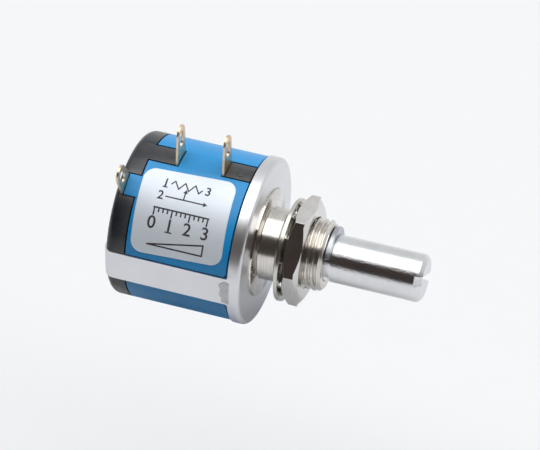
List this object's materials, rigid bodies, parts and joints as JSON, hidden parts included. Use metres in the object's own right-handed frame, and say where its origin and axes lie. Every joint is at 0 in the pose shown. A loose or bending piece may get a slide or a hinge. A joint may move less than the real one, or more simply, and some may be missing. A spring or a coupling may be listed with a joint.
{
  "type": "rotary potentiometer",
  "caption": "Multi-turn rotary potentiometer with a threaded panel bushing, slotted shaft, solder terminals and a helical wirewound element inside.",
  "frame": {"origin": "on the shaft axis at the face of the bushing flange that meets the panel", "axes": "+X along the shaft towards its slotted end, +Z through the two end terminals"},
  "size_m": [0.0404, 0.0224, 0.0274],
  "materials": {
    "aluminium_lid": "satin",
    "nickel_bushing": "bright nickel plate",
    "blue_plastic": "semi-gloss moulded",
    "black_plastic": "satin moulded",
    "foil_label": "printed foil",
    "gold_terminal": "thin gold plate",
    "resistance_wire": "wound wire",
    "bronze_spring": "bright",
    "bronze_bearing": "turned",
    "steel_washer": "satin",
    "fibre_washer": "matt",
    "steel_shaft": "ground and plated",
    "rotor_plastic": "moulded",
    "zinc_ring": "zinc plate",
    "carriage_plastic": "moulded",
    "washer_steel": "nickel plate",
    "nickel_nut": "nickel plate"
  },
  "bodies": {
    "case": {"front_lid": "aluminium_lid", "bushing": "nickel_bushing", "housing": "blue_plastic", "rear_cap": "black_plastic", "front_insulator": "black_plastic", "label": "foil_label", "terminal_1": "gold_terminal", "terminal_2": "gold_terminal", "terminal_3": "gold_terminal", "resistance_element": "resistance_wire", "collector_brush": "bronze_spring", "rear_bearing": "bronze_bearing", "thrust_washer": "steel_washer", "shim_washer": "fibre_washer"},
    "spindle": {"shaft": "steel_shaft", "rotor": "rotor_plastic", "rotor_pin": "steel_washer", "collector_rail": "gold_terminal", "slip_ring": "gold_terminal", "retaining_ring": "zinc_ring"},
    "wiper": {"wiper_carriage": "carriage_plastic", "wiper_contact": "bronze_spring", "rail_contact": "bronze_spring"},
    "washer": {"lock_washer": "washer_steel"},
    "nut": {"mounting_nut": "nickel_nut"}
  },
  "joints": [
    {"name": "shaft_turn", "type": "hinge", "parent": "case", "child": "spindle", "pos_m": [0, 0, 0], "axis": [1, 0, 0], "range_deg": [-540, 540]},
    {"name": "wiper_travel", "type": "slide", "parent": "spindle", "child": "wiper", "axis": [1, 0, 0], "range_m": [-0.0032, 0.0032]},
    {"name": "washer_travel", "type": "slide", "parent": "case", "child": "washer", "axis": [1, 0, 0], "range_m": [-0.0012, 0.002]},
    {"name": "nut_turn", "type": "hinge", "parent": "washer", "child": "nut", "pos_m": [0, 0, 0], "axis": [1, 0, 0], "range_deg": [-540, 900]}
  ],
  "couplings": [
    {"joint": "wiper_travel", "follows": "shaft_turn", "m_per_rad": -0.00033423},
    {"joint": "washer_travel", "follows": "nut_turn", "m_per_rad": 0.00012637}
  ]
}
